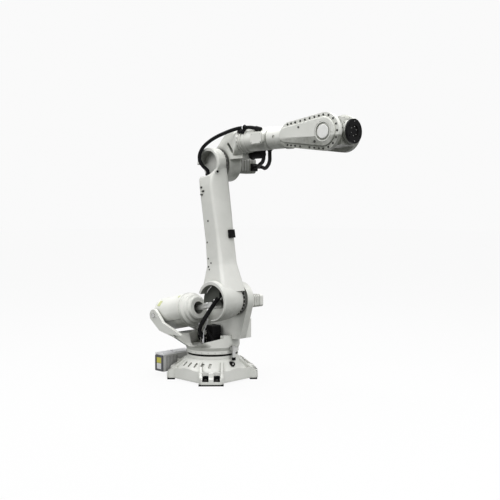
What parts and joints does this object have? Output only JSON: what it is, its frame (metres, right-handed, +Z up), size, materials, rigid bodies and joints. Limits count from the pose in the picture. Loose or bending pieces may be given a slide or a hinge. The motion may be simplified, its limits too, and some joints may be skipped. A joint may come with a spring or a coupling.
{
  "type": "large six-axis industrial robot arm",
  "caption": "Floor-mounted jointed robot arm with a turning frame, leaning lower arm, spring balancer, hoses, a forked wrist and a round tool flange.",
  "frame": {"origin": "on the first axis at floor level, in the middle of the base's underside", "axes": "+X the way the arm points, +Y towards the shoulder and elbow drives, +Z up along the first axis"},
  "size_m": [2.2189, 0.8196, 2.3936],
  "materials": {
    "casting_paint": "satin off-white enamel on cast iron",
    "black_paint": "semi-matt black",
    "grey_paint": "dark grey powder coat",
    "bare_steel": "ground steel",
    "black_rubber": "black rubber",
    "white_cap": "plain white cap"
  },
  "bodies": {
    "base": {"base_casting": "casting_paint", "base_bearing_ring": "black_paint", "foot_shoes": "black_paint", "connector_box": "grey_paint", "connector_box_lid": "casting_paint", "connector_end_plate": "black_paint", "stop_block": "casting_paint", "stop_boss": "black_rubber"},
    "frame": {"turntable_ring": "casting_paint", "frame_casting": "casting_paint", "axis_one_motor": "black_paint", "stop_pin": "bare_steel", "axis_two_gearbox": "casting_paint", "axis_two_motor": "casting_paint", "trunnion_pins": "bare_steel", "frame_gland": "black_rubber", "shoulder_hose": "black_rubber"},
    "balancer_cylinder": {"balancer_tube": "casting_paint", "balancer_rear_cap": "casting_paint", "balancer_front_cap": "casting_paint"},
    "lower_arm": {"lower_arm_casting": "casting_paint", "arm_bearing_rings": "black_paint", "rod_pin": "bare_steel", "arm_front_block": "black_rubber", "arm_glands": "black_rubber", "elbow_hose": "black_rubber"},
    "balancer_rod": {"balancer_rod": "bare_steel"},
    "arm_house": {"arm_house_casting": "casting_paint", "axis_three_gearbox": "casting_paint", "axis_three_motor": "casting_paint", "motor_connector": "grey_paint", "axis_four_motor": "black_paint", "axis_four_housing": "casting_paint", "axis_four_cover": "casting_paint", "housing_glands": "black_rubber", "hose_clamp": "black_rubber", "loop_hose_front": "black_rubber", "loop_hose_rear": "black_rubber"},
    "forearm": {"forearm_tube": "casting_paint", "wrist_fork": "casting_paint", "wrist_covers": "casting_paint", "wrist_caps": "white_cap"},
    "wrist_tilt": {"tilt_housing": "casting_paint", "tilt_front_ring": "casting_paint"},
    "tool": {"tool_flange": "black_paint"}
  },
  "joints": [
    {"name": "axis_1", "type": "hinge", "parent": "base", "child": "frame", "pos_m": [0, 0, 0.25], "axis": [0, 0, 1], "range_deg": [-170, 170]},
    {"name": "axis_2", "type": "hinge", "parent": "frame", "child": "lower_arm", "pos_m": [0.32, 0, 0.78], "axis": [0, 1, 0], "range_deg": [-54.5, 95.5], "deforming": ["shoulder_hose"]},
    {"name": "axis_3", "type": "hinge", "parent": "lower_arm", "child": "arm_house", "pos_m": [0.08674, 0, 2.03857], "axis": [0, -1, 0], "range_deg": [-59.5, 190.5], "deforming": ["elbow_hose"]},
    {"name": "axis_4", "type": "hinge", "parent": "arm_house", "child": "forearm", "pos_m": [0.77674, 0, 2.23857], "axis": [1, 0, 0], "range_deg": [-300, 300]},
    {"name": "axis_5", "type": "hinge", "parent": "forearm", "child": "wrist_tilt", "pos_m": [1.47924, 0, 2.23857], "axis": [0, -1, 0], "range_deg": [-130, 130]},
    {"name": "axis_6", "type": "hinge", "parent": "wrist_tilt", "child": "tool", "pos_m": [1.67924, 0, 2.23857], "axis": [1, 0, 0], "range_deg": [-360, 360]},
    {"name": "balancer_trunnion", "type": "hinge", "parent": "frame", "child": "balancer_cylinder", "pos_m": [-0.44, -0.168, 0.59], "axis": [0, 1, 0], "range_deg": [-13, 8]},
    {"name": "balancer_rod_pin", "type": "hinge", "parent": "lower_arm", "child": "balancer_rod", "pos_m": [0.21538, -0.168, 0.73224], "axis": [0, 1, 0], "range_deg": [-109, 63]}
  ],
  "couplings": [
    {"joint": "balancer_trunnion", "follows": "axis_2", "ratio": -0.126},
    {"joint": "balancer_rod_pin", "follows": "axis_2", "ratio": -1.126}
  ]
}
